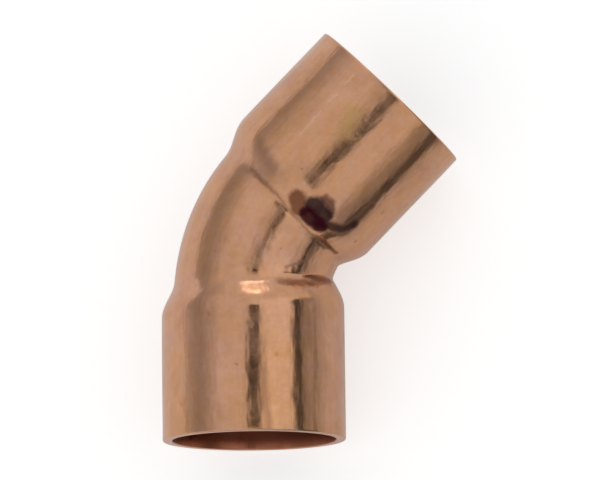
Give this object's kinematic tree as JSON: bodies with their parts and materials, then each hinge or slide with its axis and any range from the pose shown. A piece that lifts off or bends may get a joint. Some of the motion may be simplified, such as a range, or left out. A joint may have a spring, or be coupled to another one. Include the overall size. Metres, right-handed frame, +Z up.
{
  "type": "pipe elbow",
  "caption": "Copper solder pipe elbow: a short 45 degree bend with a plain socket, swaged wider than the bend, at each end.",
  "frame": {"origin": "middle of the footprint, on the surface that the elbow lies on", "axes": "+Z up from that surface; one socket opens along -Y, the other along +X +Y at 45 degrees; both socket axes lie at z = 8.95 mm and meet at x = -5.62 mm, y = -0.25 mm"},
  "size_m": [0.0292, 0.0398, 0.0179],
  "materials": {
    "copper": "bright drawn copper, slightly hazy, with faint draw lines along the sockets"
  },
  "bodies": {
    "root": {"elbow_body": "copper"}
  },
  "joints": []
}
